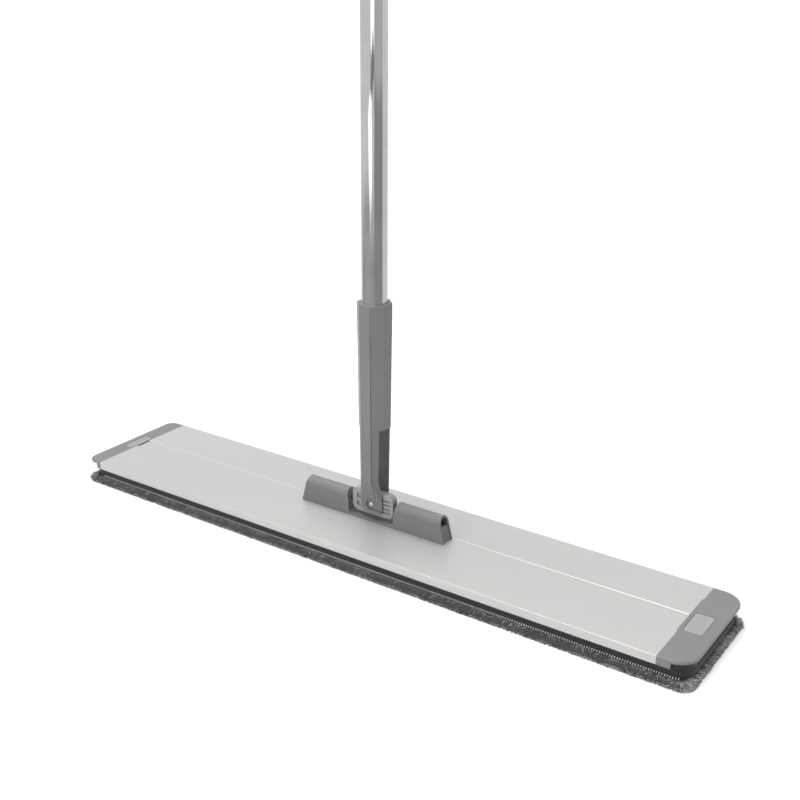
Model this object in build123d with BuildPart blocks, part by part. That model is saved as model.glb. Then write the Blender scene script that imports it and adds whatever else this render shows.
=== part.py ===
"""Flat mop: aluminium plate with latched end caps, microfibre pad, swivel joint and tubular handle.

Millimetres. +X runs along the plate, -Y is the front, +Z is up. The origin is on the floor,
under the middle of the plate.
"""
import os

from build123d import *

# ---- driving dimensions -------------------------------------------------------------------
TOTAL_LENGTH = 700.0          # over both end caps
CAP_LENGTHS = {-1: 20.0, 1: 30.0}   # visible length of the left and the right end cap
PLATE_WIDTH = 130.0
CAP_CORNERS = {-1: 10.5, 1: 20.0}   # corner radius of the end caps

PILE_HEIGHT = 4.8             # microfibre pile, standing on the floor
PILE_HALF_LENGTH = 350.0
PILE_HALF_WIDTH = 68.0
PILE_CORNER = 14.0
PAD_X = 9.0                   # the pad sits a little to the right and forward under the plate
PAD_Y = -6.0
BACKING_TOP = 13.0            # top of the black backing fabric
BACKING_HALF_LENGTH = 344.5
BACKING_HALF_WIDTH = 57.7
BACKING_CORNER = 15.0
PLATE_TOP = 21.2              # height of the plate's upper face

TOP_SKIN = 1.8                # walls of the hollow plate extrusion
BOTTOM_SKIN = 1.2
LIP_WALL = 2.2
STRIP_DEPTH = 1.2             # recess under the plate for the hook strips
GROOVE_Y = 9.4                # deepest line of the groove that runs the length of the plate
GROOVE_NEAR = 0.3             # width of its steep front wall
GROOVE_FAR = 1.0              # width of its shallow back wall
GROOVE_DEPTH = 0.3
PLATE_EDGE = 0.5              # rounding of the plate's long upper edges
CELL_CLEARANCE = 0.1

BUTTON_WIDTHS = {-1: 10.0, 1: 17.2}  # release buttons: the left one shows less of its width
BUTTON_SETBACK = 2.6          # cap between the plate and a button
BUTTON_Y = 32.4
BUTTON_GAP = 0.3

BRACKET_LENGTH = 172.0        # hinge bracket, measured at its foot
BRACKET_WIDTH = 16.0
BRACKET_HEIGHT = 26.3
BRACKET_END_LEAN = 6.5        # the ends lean inwards by this much
SADDLE_HALF = 27.3            # half width of the saddle cut for the swivel block
SADDLE_TOP_HALF = 30.0
SADDLE_FLOOR = 2.6            # height of the foot left under the saddle
BRACKET_WALL = 2.0
BRACKET_SCREW_RADIUS = 1.7    # the four screws that hold the bracket to the plate
BRACKET_SCREW_HEAD = 3.6
BRACKET_SCREW_REACH = 12.0

AXIS_HEIGHT = 18.4            # both hinge axes, above the plate
BLOCK_X = 49.0                # swivel block
BLOCK_Y = 8.0
BLOCK_Z = 25.0
PIN_RADIUS = 2.5
SCREW_RADIUS = 2.0
RUNNING = 0.05                # radial running clearance

EAR_HALF_X = 12.4             # fork at the foot of the handle socket
EAR_HALF_Y = 7.5
EAR_GAP_HALF = 4.3
EAR_DROP = 8.3                # how far the ears reach below the axis
WINDOW_TOP = 100.0            # socket heights above the plate
TUBE_SEAT = 110.0
NECK = 98.0
SOCKET_TOP = 224.0
BEND_TOP = 46.0               # below this the fork bends in towards the swivel block
BEND_FLATS = 28.0             # socket width across flats
NECK_FLATS = 29.2
SOCKET_FLATS = 31.4

TUBE_RADIUS = 12.0
TUBE_WALL = 1.0
TUBE_TOP = 1195.0             # heights above the floor
GRIP_BOTTOM = 1085.0
GRIP_TOP = 1228.0
HANDLE_TOP = 1262.0

# ---- worked-out places --------------------------------------------------------------------
PLATE_HALF = (TOTAL_LENGTH - CAP_LENGTHS[-1] - CAP_LENGTHS[1]) / 2
HALF_WIDTH = PLATE_WIDTH / 2
LIP_BOTTOM = BACKING_TOP
CELL_TOP = PLATE_TOP - TOP_SKIN
FLOOR_TOP = LIP_BOTTOM + STRIP_DEPTH
CELL_BOTTOM = FLOOR_TOP + BOTTOM_SKIN
AXIS_Z = PLATE_TOP + AXIS_HEIGHT
SCREW_PLACES = (46.0, 70.0)   # bracket screws, distance from the middle
FIT = 0.02                    # parts that are pressed together

os.makedirs("parts", exist_ok=True)


def save(node, builder):
    """Label one finished piece and write it as its own STEP file."""
    builder.part.label = node
    export_step(builder.part, "parts/" + node + ".step")


# ---- plate --------------------------------------------------------------------------------
NOTCH_HALF = 8.5              # the latch notch in each end of the plate
NOTCH_DEPTH = 4.6
SLOT_DEPTH = 2.2              # the part of the notch that also cuts the upper skin
WEB_PLACES = (-40.0, -13.0, 13.0, 40.0)
WEB_THICKNESS = 1.6

BULGE_FRONT = -18.5           # where the right cap swells over the plate
BULGE_BACK = 38.5
BULGE_DEPTH = 1.2
BULGE_SLOPE = 3.0
BULGE_GAP = 0.05


def bulge(gap):
    """Outline of the right cap's swelling over the plate's end, drawn back by a gap."""
    with BuildSketch(mode=Mode.PRIVATE) as outline:
        with BuildLine():
            Polyline(
                (PLATE_HALF + gap, BULGE_FRONT - BULGE_SLOPE),
                (PLATE_HALF + gap - BULGE_DEPTH, BULGE_FRONT),
                (PLATE_HALF + gap - BULGE_DEPTH, BULGE_BACK),
                (PLATE_HALF + gap, BULGE_BACK + BULGE_SLOPE),
                close=True,
            )
        make_face()
    return outline.sketch


with BuildPart() as plate:
    with BuildSketch(Plane.YZ) as section:
        with Locations((0, (LIP_BOTTOM + PLATE_TOP) / 2)):
            Rectangle(PLATE_WIDTH, PLATE_TOP - LIP_BOTTOM)
        fillet(section.vertices().group_by(Axis.Y)[-1], PLATE_EDGE)
        with Locations((0, LIP_BOTTOM + STRIP_DEPTH / 2)):
            Rectangle(PLATE_WIDTH - 2 * LIP_WALL, STRIP_DEPTH, mode=Mode.SUBTRACT)
        with Locations((0, (CELL_BOTTOM + CELL_TOP) / 2)):
            Rectangle(PLATE_WIDTH - 2 * LIP_WALL, CELL_TOP - CELL_BOTTOM, mode=Mode.SUBTRACT)
        with Locations([(y, (CELL_BOTTOM + CELL_TOP) / 2) for y in WEB_PLACES]):
            Rectangle(WEB_THICKNESS, CELL_TOP - CELL_BOTTOM + 2 * CELL_CLEARANCE)
        with BuildLine():
            Polyline(
                (GROOVE_Y - GROOVE_NEAR, PLATE_TOP),
                (GROOVE_Y, PLATE_TOP - GROOVE_DEPTH),
                (GROOVE_Y + GROOVE_FAR, PLATE_TOP),
                close=True,
            )
        make_face(mode=Mode.SUBTRACT)
    extrude(amount=PLATE_HALF, both=True)
    for side in (-1, 1):
        with BuildSketch(Plane.XY.offset(LIP_BOTTOM)):
            with Locations((side * (PLATE_HALF - NOTCH_DEPTH / 2), 0)):
                Rectangle(NOTCH_DEPTH, 2 * NOTCH_HALF)
        extrude(amount=CELL_TOP - LIP_BOTTOM, mode=Mode.SUBTRACT)
    # upper skin: an open slot at the left end, a wide shallow recess for the cap at the right end
    with BuildSketch(Plane.XY.offset(CELL_TOP)):
        with Locations((SLOT_DEPTH / 2 - PLATE_HALF, 0)):
            Rectangle(SLOT_DEPTH, 2 * NOTCH_HALF)
        add(bulge(0.0))
    extrude(amount=TOP_SKIN, mode=Mode.SUBTRACT)
    with BuildSketch(Plane.XY.offset(LIP_BOTTOM)):
        with Locations([(side * x, 0) for side in (-1, 1) for x in SCREW_PLACES]):
            Circle(BRACKET_SCREW_RADIUS + 0.3)
    extrude(amount=PLATE_TOP - LIP_BOTTOM, mode=Mode.SUBTRACT)
save("aluminium_plate", plate)

# ---- hook strips under the plate ----------------------------------------------------------
STRIP_WIDTH = 34.0
STRIP_SETBACK = 12.0
STRIP_CORNER = 3.0
STRIP_HALF_LENGTH = PLATE_HALF - STRIP_SETBACK
for strip_name, strip_y in (("hook_strip_front", -38.0), ("hook_strip_back", 38.0)):
    with BuildPart() as strip:
        with BuildSketch(Plane.XY.offset(LIP_BOTTOM)):
            with Locations((0, strip_y)):
                RectangleRounded(2 * STRIP_HALF_LENGTH, STRIP_WIDTH, STRIP_CORNER)
        extrude(amount=STRIP_DEPTH)
    save(strip_name, strip)

# ---- end caps, release buttons and their springs ------------------------------------------
CAP_SKIN = 2.8                # thickness of the overhanging top of a cap
CAP_SKIN_BOTTOM = PLATE_TOP - CAP_SKIN
CAP_FEET = {-1: 5.5, 1: 12.5}  # length of the deep part of each cap
CAP_WALL = 1.8
POCKET_HALF_Y = BUTTON_Y / 2 + BUTTON_GAP
HOUSING_SIDE = 2.6
HOUSING_HALF_Y = POCKET_HALF_Y + HOUSING_SIDE
HOUSING_WALL = 1.1
BUTTON_SLAB = 2.6             # thickness of the button's finger plate
SLAB_BOTTOM = PLATE_TOP - BUTTON_SLAB
BUTTON_CORNER = 3.0
BUTTON_EDGE = 0.5
LEG_DROP = 1.0
LEG_OUT = 1.3                 # the legs hook under the cap beside the pocket
LEG_INSET = 1.4
TONGUE_HALF = 7.0
TONGUE_REACH = 4.0
TONGUE_HOOK = 1.6
PASSAGE = 5.2                 # opening in the cap for the latch tongue
PASSAGE_TOPS = {-1: PLATE_TOP - 0.8, 1: SLAB_BOTTOM + BUTTON_GAP}
INSERT_REACH = 24.4           # tongues of the cap that slide into the hollow plate
INSERTS = ((50.5, 18.0), (26.5, 20.0))
RIDGE_PITCH = 2.6
RIDGE_COUNTS = {-1: 2, 1: 4}
RIDGE_DEPTH = 0.18
LEAF_THICKNESS = 0.4
LEAF_HALF_LENGTH = 12.0
LEAF_WIDTH = 6.0
LEAF_FOOT = 1.2
CAP_EDGE = 0.9


def cap_outline(side):
    """Outline of one cap's visible top, with its outer corners round."""
    with BuildSketch(mode=Mode.PRIVATE) as outline:
        with Locations((side * (PLATE_HALF + CAP_LENGTHS[side] / 2), 0)):
            Rectangle(CAP_LENGTHS[side], PLATE_WIDTH)
        corners = outline.vertices().sort_by(Axis.X)
        outer = corners[2:] if side > 0 else corners[:2]
        fillet(outer, CAP_CORNERS[side])
    return outline.sketch


for side, side_name in ((-1, "left"), (1, "right")):
    foot = CAP_FEET[side]
    button_width = BUTTON_WIDTHS[side]
    button_x = side * (PLATE_HALF + BUTTON_SETBACK + button_width / 2)
    housing_end = side * button_x + button_width / 2 + BUTTON_GAP + HOUSING_WALL
    with BuildPart() as cap:
        # overhanging top
        with BuildSketch(Plane.XY.offset(CAP_SKIN_BOTTOM)):
            add(cap_outline(side))
        extrude(amount=CAP_SKIN)
        rim = cap.faces().sort_by(Axis.Z)[-1].edges()
        fillet([edge for edge in rim if abs(edge.center().X) > PLATE_HALF + 0.1], CAP_EDGE)
        # deep foot, hollowed from below
        foot_x = side * (PLATE_HALF + foot / 2)
        with BuildSketch(Plane.XY.offset(LIP_BOTTOM)):
            with Locations((foot_x, 0)):
                Rectangle(foot, PLATE_WIDTH)
            for hand in (-1, 1):
                hollow = HALF_WIDTH - CAP_WALL - HOUSING_HALF_Y
                with Locations((foot_x, hand * (HOUSING_HALF_Y + hollow / 2))):
                    Rectangle(foot - 2 * CAP_WALL, hollow, mode=Mode.SUBTRACT)
        extrude(amount=CAP_SKIN_BOTTOM - LIP_BOTTOM)
        # button housing
        with BuildSketch(Plane.XY.offset(LIP_BOTTOM)):
            with Locations((side * (PLATE_HALF + housing_end) / 2, 0)):
                Rectangle(housing_end - PLATE_HALF, 2 * HOUSING_HALF_Y)
        extrude(amount=CAP_SKIN_BOTTOM - LIP_BOTTOM)
        # pocket for the button, wider below the top where its legs hook in
        with BuildSketch(Plane.XY.offset(FLOOR_TOP)):
            with Locations((button_x, 0)):
                RectangleRounded(
                    button_width + 2 * BUTTON_GAP, 2 * POCKET_HALF_Y, BUTTON_CORNER + BUTTON_GAP
                )
        extrude(amount=PLATE_TOP - FLOOR_TOP, mode=Mode.SUBTRACT)
        with BuildSketch(Plane.XY.offset(FLOOR_TOP)):
            with Locations((button_x, 0)):
                Rectangle(button_width - 2 * LEG_INSET + 0.8, 2 * (POCKET_HALF_Y + LEG_OUT))
        extrude(amount=SLAB_BOTTOM + 0.2 - FLOOR_TOP, mode=Mode.SUBTRACT)
        # passage for the latch tongue
        with BuildSketch(Plane.XY.offset(FLOOR_TOP)):
            with Locations((side * (PLATE_HALF + PASSAGE / 2 - CELL_CLEARANCE), 0)):
                Rectangle(PASSAGE, 2 * TONGUE_HALF + 2 * BUTTON_GAP)
        extrude(amount=PASSAGE_TOPS[side] - FLOOR_TOP, mode=Mode.SUBTRACT)
        # tongues that slide into the hollow plate
        tongue_z = CELL_BOTTOM + CELL_CLEARANCE
        with BuildSketch(Plane.XY.offset(tongue_z)):
            for insert_y, insert_width in INSERTS:
                insert_x = side * (PLATE_HALF + 2 * CELL_CLEARANCE - INSERT_REACH / 2)
                with Locations((insert_x, -insert_y), (insert_x, insert_y)):
                    Rectangle(INSERT_REACH, insert_width)
        extrude(amount=CELL_TOP - CELL_CLEARANCE - tongue_z)
        # the right cap swells over the plate's recessed end
        if side > 0:
            with BuildSketch(Plane.XY.offset(CELL_TOP + BULGE_GAP)):
                add(bulge(BULGE_GAP))
            extrude(amount=PLATE_TOP - CELL_TOP - BULGE_GAP)
    save("end_cap_" + side_name, cap)

    with BuildPart() as button:
        with BuildSketch(Plane.XY.offset(SLAB_BOTTOM)):
            with Locations((button_x, 0)):
                RectangleRounded(button_width, BUTTON_Y, BUTTON_CORNER)
        extrude(amount=PLATE_TOP - SLAB_BOTTOM)
        fillet(button.faces().sort_by(Axis.Z)[-1].edges(), BUTTON_EDGE)
        # finger ridges, parallel to the button's long side
        with BuildSketch(Plane.XY.offset(PLATE_TOP - RIDGE_DEPTH)):
            with Locations((button_x, 0)):
                with GridLocations(RIDGE_PITCH, 1, RIDGE_COUNTS[side], 1):
                    SlotOverall(BUTTON_Y - 2 * BUTTON_CORNER, RIDGE_PITCH / 2, rotation=90)
        extrude(amount=RIDGE_DEPTH, mode=Mode.SUBTRACT)
        # legs
        with BuildSketch(Plane.XY.offset(SLAB_BOTTOM - LEG_DROP)):
            for hand in (-1, 1):
                with Locations((button_x, hand * (BUTTON_Y / 2 - 0.6))):
                    Rectangle(button_width - 2 * LEG_INSET, 2 * LEG_OUT)
        extrude(amount=LEG_DROP)
        # latch tongue with its hook
        tongue_end = PLATE_HALF - TONGUE_REACH
        tongue_start = side * button_x - button_width / 2 + 2.0
        with BuildSketch(Plane.XY.offset(SLAB_BOTTOM - LEG_DROP)):
            with Locations((side * (tongue_end + tongue_start) / 2, 0)):
                Rectangle(tongue_start - tongue_end, 2 * TONGUE_HALF)
        extrude(amount=LEG_DROP)
        with BuildSketch(Plane.XY.offset(SLAB_BOTTOM - 0.2)):
            with Locations((side * (tongue_end + TONGUE_HOOK / 2), 0)):
                Rectangle(TONGUE_HOOK, 2 * TONGUE_HALF)
        extrude(amount=CELL_TOP - SLAB_BOTTOM)
    save("release_button_" + side_name, button)

    with BuildPart() as leaf:
        rise = SLAB_BOTTOM - FLOOR_TOP
        with BuildSketch(Plane.YZ.offset(button_x - LEAF_WIDTH / 2)):
            with BuildLine():
                lower = ThreePointArc(
                    (-LEAF_HALF_LENGTH, FLOOR_TOP),
                    (0, FLOOR_TOP + rise - LEAF_THICKNESS),
                    (LEAF_HALF_LENGTH, FLOOR_TOP),
                )
                upper = ThreePointArc(
                    (-LEAF_HALF_LENGTH - LEAF_FOOT, FLOOR_TOP),
                    (0, FLOOR_TOP + rise),
                    (LEAF_HALF_LENGTH + LEAF_FOOT, FLOOR_TOP),
                )
                Line(lower @ 0, upper @ 0)
                Line(lower @ 1, upper @ 1)
            make_face()
        extrude(amount=LEAF_WIDTH)
    save("button_spring_" + side_name, leaf)

# ---- pad: black backing and grey pile -----------------------------------------------------
RIM_WALL = 1.0
RIM_TOP = CAP_SKIN_BOTTOM
RIM_GAP = 0.2
RIM_START = PLATE_HALF + CAP_FEET[1] + RIM_GAP
PILE_ROUND = 2.0

with BuildPart() as backing:
    with BuildSketch(Plane.XY.offset(PILE_HEIGHT)):
        with Locations((PAD_X, PAD_Y)):
            RectangleRounded(2 * BACKING_HALF_LENGTH, 2 * BACKING_HALF_WIDTH, BACKING_CORNER)
    extrude(amount=BACKING_TOP - PILE_HEIGHT)
    # the turned-up edge that closes the space under the right cap's overhang
    with BuildSketch(Plane.XY.offset(BACKING_TOP)):
        with Locations((PAD_X, PAD_Y)):
            RectangleRounded(2 * BACKING_HALF_LENGTH, 2 * BACKING_HALF_WIDTH, BACKING_CORNER)
            RectangleRounded(
                2 * (BACKING_HALF_LENGTH - RIM_WALL),
                2 * (BACKING_HALF_WIDTH - RIM_WALL),
                BACKING_CORNER - RIM_WALL,
                mode=Mode.SUBTRACT,
            )
        with Locations((RIM_START - TOTAL_LENGTH / 2, 0)):
            Rectangle(TOTAL_LENGTH, 2 * PLATE_WIDTH, mode=Mode.SUBTRACT)
    extrude(amount=RIM_TOP - BACKING_TOP)
save("pad_backing", backing)

with BuildPart() as pile:
    with BuildSketch():
        with Locations((PAD_X, PAD_Y)):
            RectangleRounded(2 * PILE_HALF_LENGTH, 2 * PILE_HALF_WIDTH, PILE_CORNER)
    extrude(amount=PILE_HEIGHT)
    fillet(pile.faces().sort_by(Axis.Z)[-1].edges(), PILE_ROUND)
save("pad_pile", pile)

# ---- hinge bracket ------------------------------------------------------------------------
SHOULDER = 19.6               # where the bracket's sides turn into its rounded back
SHOULDER_HALF = 7.4
CAVITY_START = 39.0
PIN_DEPTH = 38.0              # the swivel pins reach this far from the middle
BOSS_HALF = 4.5
SADDLE_BREAK = 16.6           # where the saddle's sides start to lean outwards
SADDLE_ROUND = 5.0
INFILL_HEIGHT = 15.6
INFILL_HALF = 6.5
INFILL_START = 78.5
INFILL_RECESS = 0.8
INFILL_ROUND = 4.5


def arch(inset):
    """Cross-section of the bracket, made smaller all round by inset but open at its foot."""
    half = BRACKET_WIDTH / 2 - inset
    shoulder_half = SHOULDER_HALF - inset
    with BuildLine() as outline:
        foot = Line((-half, PLATE_TOP), (half, PLATE_TOP))
        right = Line(foot @ 1, (shoulder_half, PLATE_TOP + SHOULDER))
        left = Line(foot @ 0, (-shoulder_half, PLATE_TOP + SHOULDER))
        ThreePointArc(right @ 1, (0, PLATE_TOP + BRACKET_HEIGHT - inset), left @ 1)
    return outline.line


with BuildPart() as bracket:
    with BuildSketch(Plane.YZ.offset(-BRACKET_LENGTH / 2)):
        add(arch(0.0))
        make_face()
    extrude(amount=BRACKET_LENGTH)
    # side view: leaning ends and the saddle for the swivel block
    over = BRACKET_HEIGHT + 1.0
    bracket_end = BRACKET_LENGTH / 2
    lean = BRACKET_END_LEAN * over / BRACKET_HEIGHT
    with BuildSketch(Plane.XZ.offset(-BRACKET_WIDTH)) as side_view:
        with BuildLine():
            Polyline(
                (-bracket_end, PLATE_TOP),
                (-bracket_end + lean, PLATE_TOP + over),
                (-SADDLE_TOP_HALF, PLATE_TOP + over),
                (-SADDLE_HALF, PLATE_TOP + SADDLE_BREAK),
                (-SADDLE_HALF, PLATE_TOP + SADDLE_FLOOR),
                (SADDLE_HALF, PLATE_TOP + SADDLE_FLOOR),
                (SADDLE_HALF, PLATE_TOP + SADDLE_BREAK),
                (SADDLE_TOP_HALF, PLATE_TOP + over),
                (bracket_end - lean, PLATE_TOP + over),
                (bracket_end, PLATE_TOP),
                close=True,
            )
        make_face()
        floor_corners = side_view.vertices().filter_by_position(
            Axis.Y, PLATE_TOP + SADDLE_FLOOR - 0.1, PLATE_TOP + SADDLE_FLOOR + 0.1
        )
        fillet(floor_corners, SADDLE_ROUND)
    extrude(amount=2 * BRACKET_WIDTH, mode=Mode.INTERSECT)
    # hollow arms between the screw bosses
    spans = (
        (CAVITY_START, SCREW_PLACES[0] - BOSS_HALF),
        (SCREW_PLACES[0] + BOSS_HALF, SCREW_PLACES[1] - BOSS_HALF),
        (SCREW_PLACES[1] + BOSS_HALF, BRACKET_LENGTH / 2 + 1.0),
    )
    for begin, end in spans:
        for first in (begin, -end):
            with BuildSketch(Plane.YZ.offset(first)):
                add(arch(BRACKET_WALL))
                make_face()
            extrude(amount=end - begin, mode=Mode.SUBTRACT)
    # domed block that fills the foot of each open end
    for side in (-1, 1):
        face = bracket_end - INFILL_RECESS
        with BuildPart(mode=Mode.PRIVATE) as infill:
            with BuildSketch(Plane.XZ.offset(-INFILL_HALF)):
                with BuildLine():
                    Polyline(
                        (side * INFILL_START, PLATE_TOP),
                        (side * face, PLATE_TOP),
                        (side * (face - lean * INFILL_HEIGHT / over), PLATE_TOP + INFILL_HEIGHT),
                        (side * INFILL_START, PLATE_TOP + INFILL_HEIGHT),
                        close=True,
                    )
                make_face()
            extrude(amount=2 * INFILL_HALF)
            ridges = infill.edges().filter_by(Axis.X).group_by(Axis.Z)[-1]
            fillet(ridges, INFILL_ROUND)
        add(infill.part)
    # pin holes and screw holes
    for side in (-1, 1):
        with BuildSketch(Plane.YZ.offset(side * (SADDLE_HALF - 1.0))):
            with Locations((0, AXIS_Z)):
                Circle(PIN_RADIUS + RUNNING)
        extrude(amount=side * (PIN_DEPTH + 0.4 - SADDLE_HALF + 1.0), mode=Mode.SUBTRACT)
    with BuildSketch(Plane.XY.offset(PLATE_TOP)):
        with Locations([(side * x, 0) for side in (-1, 1) for x in SCREW_PLACES]):
            Circle(BRACKET_SCREW_RADIUS + FIT)
    extrude(amount=BRACKET_SCREW_REACH + 0.5, mode=Mode.SUBTRACT)
save("hinge_bracket", bracket)

with BuildPart() as bracket_screws:
    with BuildSketch(Plane.XY.offset(LIP_BOTTOM + 0.1)):
        with Locations([(side * x, 0) for side in (-1, 1) for x in SCREW_PLACES]):
            Circle(BRACKET_SCREW_HEAD)
    extrude(amount=STRIP_DEPTH - 0.1)
    with BuildSketch(Plane.XY.offset(FLOOR_TOP)):
        with Locations([(side * x, 0) for side in (-1, 1) for x in SCREW_PLACES]):
            Circle(BRACKET_SCREW_RADIUS)
    extrude(amount=PLATE_TOP + BRACKET_SCREW_REACH - FLOOR_TOP)
save("bracket_screws", bracket_screws)

# ---- swivel block and its pins ------------------------------------------------------------
PIN_START = 12.0
WASHER_RADIUS = 3.8
BLOCK_CORNER = 7.0
BLOCK_EDGE = 0.8
POCKET_DEPTH = 1.6            # coring of the block's faces
SQUARE_POCKET = (4.4, 5.0)    # two squares on the left
SQUARE_POCKET_X = -16.6
SQUARE_POCKET_RISES = (-4.2, 4.2)
SLOT_POCKET = (9.4, 1.8)      # slots between ribs on the right
SLOT_POCKET_X = 16.2
SLOT_POCKET_RISES = (-6.4, -2.2, 2.2, 6.4)

with BuildPart() as block:
    with BuildSketch(Plane.XZ) as block_side:
        with Locations((0, AXIS_Z)):
            Rectangle(BLOCK_X, BLOCK_Z)
        fillet(block_side.vertices(), BLOCK_CORNER)
    extrude(amount=BLOCK_Y / 2, both=True)
    fillet(block.faces().filter_by(Axis.Y).edges(), BLOCK_EDGE)
    for face_y in (-BLOCK_Y / 2, BLOCK_Y / 2 - POCKET_DEPTH):
        with BuildSketch(Plane.XZ.offset(-face_y - POCKET_DEPTH)):
            with Locations([(SQUARE_POCKET_X, AXIS_Z + rise) for rise in SQUARE_POCKET_RISES]):
                Rectangle(*SQUARE_POCKET)
            with Locations([(SLOT_POCKET_X, AXIS_Z + rise) for rise in SLOT_POCKET_RISES]):
                Rectangle(*SLOT_POCKET)
        extrude(amount=POCKET_DEPTH, mode=Mode.SUBTRACT)
    with BuildSketch(Plane.XZ):
        with Locations((0, AXIS_Z)):
            Circle(SCREW_RADIUS + RUNNING)
    extrude(amount=BLOCK_Y, both=True, mode=Mode.SUBTRACT)
    for side in (-1, 1):
        with BuildSketch(Plane.YZ.offset(side * PIN_START)):
            with Locations((0, AXIS_Z)):
                Circle(PIN_RADIUS + FIT)
        extrude(amount=side * BLOCK_X / 2, mode=Mode.SUBTRACT)
save("swivel_block", block)

for side, side_name in ((-1, "left"), (1, "right")):
    with BuildPart() as pin:
        with BuildSketch(Plane.YZ.offset(side * (PIN_START + 0.2))):
            with Locations((0, AXIS_Z)):
                Circle(PIN_RADIUS)
        extrude(amount=side * (PIN_DEPTH - PIN_START - 0.2))
        chamfer(pin.edges().filter_by(GeomType.CIRCLE), 0.4)
    save("swivel_pin_" + side_name, pin)

    with BuildPart() as washer:
        with BuildSketch(Plane.YZ.offset(side * BLOCK_X / 2)):
            with Locations((0, AXIS_Z)):
                Circle(WASHER_RADIUS)
                Circle(PIN_RADIUS + FIT, mode=Mode.SUBTRACT)
        extrude(amount=side * (SADDLE_HALF - BLOCK_X / 2 - 0.3))
    save("friction_washer_" + side_name, washer)

# ---- handle socket ------------------------------------------------------------------------
EAR_CHAMFER = 1.8
EAR_TOP = 26.0
EAR_CORNERS = {-1: 8.0, 1: 3.0}  # one large and one small lower corner, seen from the front
CUT = 30.0                    # half length of cuts that pass right through
SCREW_POCKET = 5.6
SCREW_POCKET_DEPTH = 1.9
SEAM_WIDTH = 0.8
SEAM_X = 6.0
SEAM_DEPTH = 0.9
SEAM_TOP_DEPTH = 0.4
LOCK_X = 0.0
LOCK_HEIGHT = 182.0
LOCK_RADIUS = 1.9
LOCK_LOOSE = 0.1
WINDOW_HALF = 9.2
SECTION_CORNER = 0.9
OCTAGON_SIDE = 0.2071         # half a side of a regular octagon, for one unit across its flats
SOCKET_RIM = 0.6


def socket_section(height, half_x, half_y, corner_x, corner_y):
    """Eight-sided section with soft corners, at a height above the plate."""
    with BuildSketch(Plane.XY.offset(PLATE_TOP + height), mode=Mode.PRIVATE) as section:
        with BuildLine():
            Polyline(
                (corner_x, -half_y), (half_x, -corner_y), (half_x, corner_y), (corner_x, half_y),
                (-corner_x, half_y), (-half_x, corner_y), (-half_x, -corner_y), (-corner_x, -half_y),
                close=True,
            )
        make_face()
        fillet(section.vertices(), SECTION_CORNER)
    return section.sketch


def octagon(height, flats):
    """Regular section across the given flats."""
    side_half = flats * OCTAGON_SIDE
    return socket_section(height, flats / 2, flats / 2, side_half, side_half)


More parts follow.
